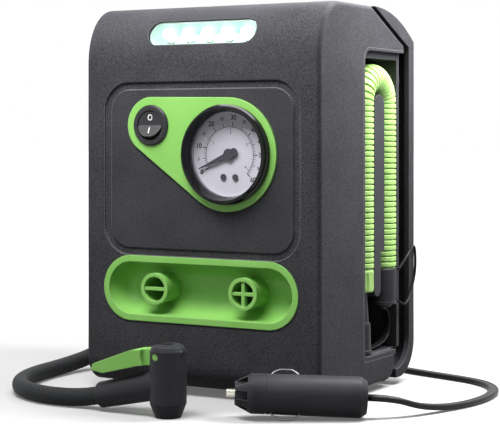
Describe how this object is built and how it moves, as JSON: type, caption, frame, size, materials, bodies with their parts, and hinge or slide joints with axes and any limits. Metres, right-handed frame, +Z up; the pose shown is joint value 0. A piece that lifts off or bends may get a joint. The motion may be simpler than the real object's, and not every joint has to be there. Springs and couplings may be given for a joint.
{
  "type": "portable tire inflator",
  "caption": "Upright 12 V tire inflator with a round gauge, work light, air ports, stowed ribbed hose, tire hose with lever chuck and car plug.",
  "frame": {"origin": "middle of the footprint of the body, on the surface that its feet stand on", "axes": "+Z up, -Y out of the front panel with the gauge, +X to the right seen from the front"},
  "size_m": [0.2571, 0.3058, 0.2135],
  "materials": {
    "charcoal_abs": "fine spark texture, satin",
    "black_abs": "fine texture, satin",
    "green_abs": "smooth, semi-gloss",
    "green_hose_pe": "smooth, satin",
    "gauge_black": "polished",
    "dial_silver": "satin printed face",
    "clear_lens": "clear",
    "pointer_black": "satin",
    "brass": "machined",
    "nickel_steel": "polished nickel plate",
    "zinc_steel": "zinc plated",
    "cast_alloy": "die cast",
    "nylon_white": "moulded",
    "black_rubber": "matt",
    "black_pvc": "satin",
    "reflector_white": "bright moulded",
    "circuit_board": "solder mask"
  },
  "bodies": {
    "housing": {"front_housing": "charcoal_abs", "rear_shell": "charcoal_abs", "tray_right": "black_abs", "tray_left": "black_abs", "core_frame": "black_abs", "switch_barrel": "black_abs", "chuck_body": "black_abs", "plug_body": "black_abs", "blower_housing": "black_abs", "trim_plate": "green_abs", "port_bowl": "green_abs", "port_tubes": "green_abs", "gauge_bezel": "gauge_black", "gauge_dial": "dial_silver", "gauge_lens": "clear_lens", "led_lens": "clear_lens", "led_lamps": "clear_lens", "gauge_movement": "brass", "bourdon_tube": "brass", "plug_spring": "nickel_steel", "housing_screws": "zinc_steel", "dial_screws": "zinc_steel", "gauge_case": "zinc_steel", "switch_terminals": "zinc_steel", "compressor_motor": "zinc_steel", "blower_motor": "zinc_steel", "drive_bracket": "zinc_steel", "cylinder": "cast_alloy", "cylinder_head": "cast_alloy", "feet": "black_rubber", "tire_hose": "black_rubber", "chuck_seal": "black_rubber", "hose_gland": "black_rubber", "gauge_tube": "black_rubber", "power_cord": "black_pvc", "cord_coil": "black_pvc", "cord_lead": "black_pvc", "cord_grommet": "black_pvc", "led_reflector": "reflector_white", "led_board": "circuit_board"},
    "rocker": {"rocker": "black_abs"},
    "pointer": {"gauge_pointer": "pointer_black"},
    "lever": {"chuck_lever": "green_abs", "chuck_pin": "green_abs"},
    "nose_cap": {"plug_cap": "black_abs"},
    "centre_pin": {"plug_tip": "nickel_steel", "plug_fuse": "nickel_steel"},
    "side_contact_upper": {"contact_upper": "nickel_steel"},
    "side_contact_lower": {"contact_lower": "nickel_steel"},
    "hose_set": {"accessory_hose": "green_hose_pe", "hose_cuff": "green_abs", "cone_nozzle": "black_abs", "port_connector": "black_abs", "connector_cap": "black_abs", "hose_straps": "black_pvc"},
    "pinion": {"motor_pinion": "zinc_steel"},
    "crank": {"crank_gear": "nylon_white"},
    "conrod": {"connecting_rod": "nylon_white"},
    "piston": {"piston": "cast_alloy"},
    "impeller": {"impeller": "nylon_white"}
  },
  "joints": [
    {"name": "rocker_tilt", "type": "hinge", "parent": "housing", "child": "rocker", "pos_m": [-0.0299, -0.05575, 0.1476], "axis": [1, 0, 0], "range_deg": [0, 24]},
    {"name": "pointer_sweep", "type": "hinge", "parent": "housing", "child": "pointer", "pos_m": [0.018, -0.05425, 0.1319], "axis": [0, 1, 0], "range_deg": [0, 250], "stiffness_Nm_per_rad": 0.0001},
    {"name": "lever_lift", "type": "hinge", "parent": "housing", "child": "lever", "pos_m": [0.013, -0.10885, 0.031], "axis": [0, 1, 0], "range_deg": [0, 85]},
    {"name": "cap_unscrew", "type": "slide", "parent": "housing", "child": "nose_cap", "axis": [-0.8538, -0.5191, 0.0401], "range_m": [0, 0.015]},
    {"name": "pin_press", "type": "slide", "parent": "nose_cap", "child": "centre_pin", "axis": [0.8538, 0.5191, -0.0401], "range_m": [0, 0.003], "stiffness_N_per_m": 400},
    {"name": "contact_upper_press", "type": "slide", "parent": "housing", "child": "side_contact_upper", "axis": [0.2301, -0.4453, -0.8653], "range_m": [0, 0.0025], "stiffness_N_per_m": 600},
    {"name": "contact_lower_press", "type": "slide", "parent": "housing", "child": "side_contact_lower", "axis": [-0.2301, 0.4453, 0.8653], "range_m": [0, 0.0025], "stiffness_N_per_m": 600},
    {"name": "hose_take_out", "type": "slide", "parent": "housing", "child": "hose_set", "axis": [1, 0, 0], "range_m": [0, 0.045]},
    {"name": "crank_spin", "type": "hinge", "parent": "housing", "child": "crank", "pos_m": [0.011, 0.02175, 0.117], "axis": [1, 0, 0], "continuous": true},
    {"name": "pinion_spin", "type": "hinge", "parent": "housing", "child": "pinion", "pos_m": [0.009, 0.02175, 0.092], "axis": [1, 0, 0], "continuous": true},
    {"name": "piston_stroke", "type": "slide", "parent": "housing", "child": "piston", "axis": [0, 0, 1], "range_m": [-0.016, 0]},
    {"name": "conrod_swing", "type": "hinge", "parent": "piston", "child": "conrod", "pos_m": [0.0237, 0.02175, 0.163], "axis": [1, 0, 0], "range_deg": [-12, 12]},
    {"name": "impeller_spin", "type": "hinge", "parent": "housing", "child": "impeller", "pos_m": [0, -0.01425, 0.0578], "axis": [0, 1, 0], "continuous": true}
  ],
  "couplings": [
    {"joint": "pinion_spin", "follows": "crank_spin", "ratio": -4}
  ]
}
